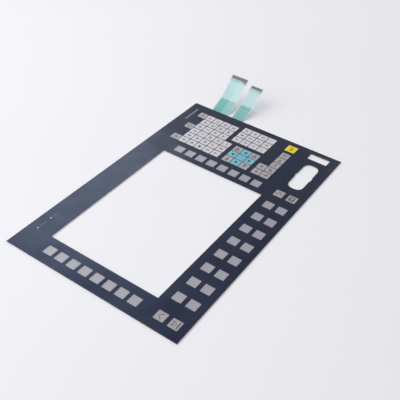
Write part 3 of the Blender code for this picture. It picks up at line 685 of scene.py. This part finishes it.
def dress_keys():
    """Keys and fields in their print colours."""
    soft_grey = key_print("softkey_finish", (0.295, 0.286, 0.330), 0.34, 1.0, 0.05)
    white = key_print("white_key_finish", (0.585, 0.570, 0.600))
    grey = key_print("grey_key_finish", (0.360, 0.346, 0.362))
    pale_grey = key_print("corner_key_finish", (0.330, 0.318, 0.330))
    cyan = key_print("cyan_key_finish", (0.150, 0.445, 0.545))
    yellow = key_print("yellow_key_finish", (0.780, 0.605, 0.002), specular=0.45)
    light_line = ink("light_line_finish", (0.050, 0.050, 0.065))
    dark_line = ink("dark_line_finish", (0.050, 0.050, 0.060))
    cyan_line = ink("cyan_line_finish", (0.020, 0.075, 0.110))

    for node in sorted(cad_nodes):
        if "softkey" in node:
            add_single_pad(node, soft_grey)
        elif "corner_key" in node:
            add_single_pad(node, pale_grey)
        elif node.startswith("paging_key"):
            add_single_pad(node, grey)
    add_single_pad("enter_key", yellow)

    add_field("letter_field", "letter_keys", light_line)
    add_block_pads("letter_pads", "letter_keys", LETTER_CELLS, white)
    add_block_pads("function_pads", "letter_keys", FUNCTION_CELLS, grey)
    add_field("number_field", "number_keys", light_line)
    add_block_pads("number_pads", "number_keys", NUMBER_CELLS, white)
    add_field("cursor_field", "cursor_keys", cyan_line)
    add_block_pads("cursor_pads", "cursor_keys", CURSOR_CELLS, cyan)
    add_field("edit_field", "edit_keys", dark_line)
    add_block_pads("edit_pads", "edit_keys", EDIT_CELLS, grey)


def print_legends():
    """Plain legends: letters, figures, arrows and simple signs."""
    dark = ink("dark_ink", (0.060, 0.058, 0.070))
    arrow = ink("arrow_ink", (0.018, 0.020, 0.045))
    bronze = ink("bronze_ink", (0.170, 0.130, 0.012))
    faint = ink("faint_ink", (0.060, 0.300, 0.360))

    letters = [chr(ord("A") + index) for index in range(26)] + ["space"]
    add_legends("letter_legends", "letter_keys", LETTER_CELLS, letters, dark)
    signs = ["list", "box", "two_bars"]
    add_legends("function_legends", "letter_keys", FUNCTION_CELLS, signs, dark)
    figures = ["7", "8", "9", "4", "5", "6", "1", "2", "3", "-", "0", "."]
    add_legends("number_legends", "number_keys", NUMBER_CELLS, figures, dark)
    arrows = ["arrow_up", "arrow_left", "arrow_right", "arrow_down"]
    cells = [CURSOR_CELLS[0], CURSOR_CELLS[1], CURSOR_CELLS[3], CURSOR_CELLS[4]]
    add_legends("cursor_legends", "cursor_keys", cells, arrows, arrow)
    signs = ["back", "cross", "insert", "swap", "two_bars", "to_start", "tab"]
    add_legends("edit_legends", "edit_keys", EDIT_CELLS, signs, dark)

    bm = bmesh.new()
    centre = cell_place("cursor_keys", 1, 1)
    stamp_ring(bm, centre, SELECT_RING_RADIUS, SELECT_RING_LINE, BLOCK_PAD_LEVEL, INK_THICKNESS)
    add_piece("select_legend", bm, faint)

    bm = bmesh.new()
    for number, sign in enumerate(("to_start", "pages_up", "to_end", "pages_down"), 1):
        add_sign(bm, sign, middle(f"paging_key_{number}").xy, PAD_LEVEL, PAGING_STROKE)
    add_piece("paging_legends", bm, dark)

    bm = bmesh.new()
    add_sign(bm, "up", middle("left_corner_key_upper").xy, PAD_LEVEL, FINE_CORNER_STROKE)
    add_sign(bm, "step_under", middle("left_corner_key_lower").xy, PAD_LEVEL, FINE_CORNER_STROKE)
    add_sign(bm, "bar_under", middle("left_corner_key_lower").xy, PAD_LEVEL)
    add_sign(bm, "right", middle("right_corner_key_upper").xy, PAD_LEVEL, CORNER_STROKE)
    add_sign(bm, "window", middle("right_corner_key_lower").xy, PAD_LEVEL, BROAD_CORNER_STROKE)
    add_piece("corner_legends", bm, dark)

    bm = bmesh.new()
    add_sign(bm, "enter", middle("enter_key").xy, PAD_LEVEL, ENTER_STROKE)
    add_piece("enter_legend", bm, bronze)


# Plain stripes in the place of the words on the face
TITLE_STRIPE = (41.0 * MM, 3.9 * MM)
TITLE_TO_KEYS = 4.5 * MM
LAMP_STRIPES = {"left_lamp": 14.0 * MM, "right_lamp": 9.5 * MM}
LAMP_STRIPE_HEIGHT = 1.3 * MM
LAMP_TO_STRIPE = 3.4 * MM
INDICATOR_DIAMETER = 2.4 * MM
INDICATOR_FOOT = 0.1 * MM
INDICATOR_LIFT = 0.20 * MM
# Section of a domed window, as (share of its reach, share of its lift)
INDICATOR_DOME = ((1.0, 0.0), (0.97, 0.45), (0.80, 0.85), (0.45, 1.0))
ROUNDEST = 0.999


def dress_face():
    """Indicator windows and plain stripes on the face."""
    pale = ink("pale_ink", (0.160, 0.170, 0.200))
    dim = ink("dim_ink", (0.130, 0.145, 0.185))
    window, shader = new_finish("indicator_finish", (0.60, 0.60, 0.64), 0.3)
    relief(window, shader, (1.0 * MM, 0.02 * MM))

    bm = bmesh.new()
    row = middle("left_lamp").y
    width, height = TITLE_STRIPE
    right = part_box("letter_keys")[1].x + TITLE_TO_KEYS - width / 2
    stamp(bm, rounded_rectangle((right, row), width, height, height / 3), FACE_LEVEL, INK_THICKNESS)
    add_piece("title_stripe", bm, pale)

    bm = bmesh.new()
    height = LAMP_STRIPE_HEIGHT
    for lamp, width in LAMP_STRIPES.items():
        x = middle(lamp).x + LAMP_TO_STRIPE + width / 2
        stamp(bm, rounded_rectangle((x, row), width, height, height / 3), FACE_LEVEL, INK_THICKNESS)
    add_piece("lamp_stripes", bm, dim)

    for lamp, name in (("left_lamp", "left_indicator"), ("right_lamp", "right_indicator")):
        bm = bmesh.new()
        centre = middle(lamp)
        loops = []
        for reach, lift in INDICATOR_DOME:
            radius = INDICATOR_DIAMETER / 2 * reach + INDICATOR_FOOT
            outline = rounded_rectangle(centre.xy, 2 * radius, 2 * radius, radius * ROUNDEST)
            loops.append(ring(bm, outline, FACE_LEVEL + lift * INDICATOR_LIFT))
        for low, high in zip(loops, loops[1:]):
            bridge(bm, low, high)
        bm.faces.new(loops[-1])
        bm.faces.new(reversed(loops[0]))
        add_piece(name, bm, window, smooth=True)


def strip_sections(node):
    """Cross-sections of a strip on a tail, as (back, face) points in x and z, from its root to its end."""
    low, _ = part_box(node)
    found = {}
    for vertex in cad_nodes[node].data.vertices:
        if vertex.co.y < low.y + 0.01 * MM:
            found[(round(vertex.co.x, 6), round(vertex.co.z, 6))] = Vector((vertex.co.x, vertex.co.z))
    points = sorted(found.values(), key=lambda point: point.x)
    sections = []
    for first, second in zip(points[::2], points[1::2]):
        sections.append((first, second) if first.y < second.y else (second, first))
    return sections


def add_tail_print(name, node, material):
    """Insulating print on a tail, slightly raised over each track."""
    low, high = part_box(node)
    tracks = round((high.y - low.y) / TRACK_PITCH)
    across = tracks * TRACK_STEPS
    bm = bmesh.new()
    rows = []
    for back, face in strip_sections(node):
        out = (face - back).normalized()
        top_row, back_row = [], []
        for index in range(across + 1):
            y = low.y + (high.y - low.y) * index / across
            wave = 0.5 - 0.5 * math.cos(2 * math.pi * index / TRACK_STEPS)
            top = face + out * TRACK_RIDGE * wave
            top_row.append(bm.verts.new((top.x, y, top.y)))
            back_row.append(bm.verts.new((back.x, y, back.y)))
        rows.append((top_row, back_row))
    for (top_a, back_a), (top_b, back_b) in zip(rows, rows[1:]):
        for index in range(across):
            bm.faces.new((top_a[index], top_a[index + 1], top_b[index + 1], top_b[index]))
            bm.faces.new((back_a[index], back_b[index], back_b[index + 1], back_a[index + 1]))
        for side in (0, -1):
            bm.faces.new((top_a[side], top_b[side], back_b[side], back_a[side]))
    for top_row, back_row in (rows[0], rows[-1]):
        bm.faces.new((*top_row, *reversed(back_row)))
    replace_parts(add_piece(name, bm, material, smooth=True), node)


def add_bar(bm, first, last, out, lift, middle_y, width):
    """A thin upright bar along a tail, from first to last in x and z."""
    corners = []
    for point in (first, last):
        for rise in (0.0, lift):
            place = point + out * rise
            for side in (-1, 1):
                corners.append(bm.verts.new((place.x, middle_y + side * width / 2, place.y)))
    a0, a1, a2, a3, b0, b1, b2, b3 = corners
    for face in ((a0, a1, a3, a2), (b0, b2, b3, b1), (a0, b0, b1, a1), (a2, a3, b3, b2)):
        bm.faces.new(face)
    bm.faces.new((a0, a2, b2, b0))
    bm.faces.new((a1, b1, b3, a3))


def add_contacts(name, cover, stiffener, long_shares, covered_share):
    """Contact ink on the raised ends of a tail's tracks; the first tracks' ink runs on over the print."""
    low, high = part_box(cover)
    tracks = round((high.y - low.y) / TRACK_PITCH)
    (start, _), (before, _) = strip_sections(cover)[-1], strip_sections(cover)[-2]
    along = (start - before).normalized()
    out = Vector((-along.y, along.x))
    end = strip_sections(stiffener)[-1][0]
    reach = along * (end - start).dot(along)
    bm = bmesh.new()
    for track in range(tracks):
        middle_y = low.y + (track + 0.5) * TRACK_PITCH
        add_bar(bm, start, start + reach, out, CONTACT_INK, middle_y, CONTACT_WIDTH)
        if track < len(long_shares):
            first = start - reach * long_shares[track]
            add_bar(bm, first, start, out, LONG_CONTACT_LIFT, middle_y, LONG_CONTACT_WIDTH)
    covered_to = (start + reach * covered_share).x
    add_piece(name, bm, contact_ink(name + "_ink", covered_to))


def dress_tails():
    """Print and contacts of both tails."""
    for tail in ("wide_tail", "narrow_tail"):
        cover = tail + "_cover"
        low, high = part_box(cover)
        backs = [back for back, _ in strip_sections(cover)]
        slopes = [math.atan2(b.y - a.y, b.x - a.x) for a, b in zip(backs, backs[1:])]
        crease = max(i for i in range(1, len(slopes)) if slopes[i] - slopes[i - 1] > LEAST_CREASE)
        # Painted shade ends and painted light begins just past the crease
        lit_from = backs[crease].x + SHADE_ENDS_PAST_CREASE[tail]
        pale_side = [high.y + (low.y - high.y) * share for share in PALE_SIDE[tail]]
        crease_shade = None
        if tail in CREASE_SHADE_BEFORE_CREASE:
            crease_shade = backs[crease].x - CREASE_SHADE_BEFORE_CREASE[tail]
        finish = tail_print(lit_from, SHADE_TO_LIGHT_FADE[tail], pale_side, LIT_PRINT_PALER[tail], crease_shade)
        add_tail_print(tail + "_print", cover, finish)
        long_shares = LONG_CONTACT_SHARES[tail]
        add_contacts(tail + "_contacts", cover, tail + "_stiffener", long_shares, COVERED_SHARE[tail])


def set_table():
    bm = bmesh.new()
    half = TABLE_SIZE / 2
    corners = ((-half, -half), (half, -half), (half, half), (-half, half))
    bm.faces.new([bm.verts.new((x, y, -TABLE_DROP)) for x, y in corners])
    mesh = bpy.data.meshes.new("table")
    bm.to_mesh(mesh)
    bm.free()
    mesh.materials.append(table_finish())
    table = bpy.data.objects.new("table", mesh)
    bpy.context.scene.collection.objects.link(table)


def set_light():
    for name, settings in LIGHTS.items():
        lamp = bpy.data.lights.new(name, "AREA")
        lamp.shape = "SQUARE"
        lamp.size = settings["size"]
        lamp.energy = settings["power"]
        lamp.color = LIGHT_COLOUR
        light = bpy.data.objects.new(name, lamp)
        light.location = settings["place"]
        aim = Vector(settings["aim"]) - light.location
        light.rotation_euler = aim.to_track_quat("-Z", "Y").to_euler()
        bpy.context.scene.collection.objects.link(light)

    world = bpy.data.worlds.new("room")
    world.use_nodes = True
    direction = add_node(world, "ShaderNodeTexCoord").outputs["Generated"]
    side = add_node(world, "ShaderNodeVectorMath", operation="DOT_PRODUCT")
    side.inputs[1].default_value = Vector(ROOM_BRIGHT_SIDE).normalized()
    connect(world, direction, side.inputs[0])
    ends = (ROOM_DARK_END, ROOM_BRIGHT_END)
    level = share_between(world, side.outputs["Value"], *ends, low=ROOM_DARK, high=ROOM_BRIGHT)
    background = world.node_tree.nodes["Background"]
    background.inputs["Color"].default_value = (*ROOM_COLOUR, 1.0)
    connect(world, level, background.inputs["Strength"])
    bpy.context.scene.world = world
    bpy.context.scene.view_settings.view_transform = "Standard"


def set_camera():
    data = bpy.data.cameras.new("camera")
    data.lens = CAMERA_LENS
    data.sensor_width = CAMERA_SENSOR
    data.clip_start = NEAREST_SEEN
    camera = bpy.data.objects.new("camera", data)
    camera.location = CAMERA_PLACE
    camera.rotation_mode = "QUATERNION"
    level = (CAMERA_TARGET - CAMERA_PLACE).to_track_quat("-Z", "Y")
    camera.rotation_quaternion = level @ Quaternion((0.0, 0.0, 1.0), CAMERA_ROLL)
    bpy.context.scene.collection.objects.link(camera)
    bpy.context.scene.camera = camera


set_camera()
dress_films()
dress_keys()
print_legends()
dress_face()
dress_tails()
set_table()
set_light()

bpy.context.view_layer.update()
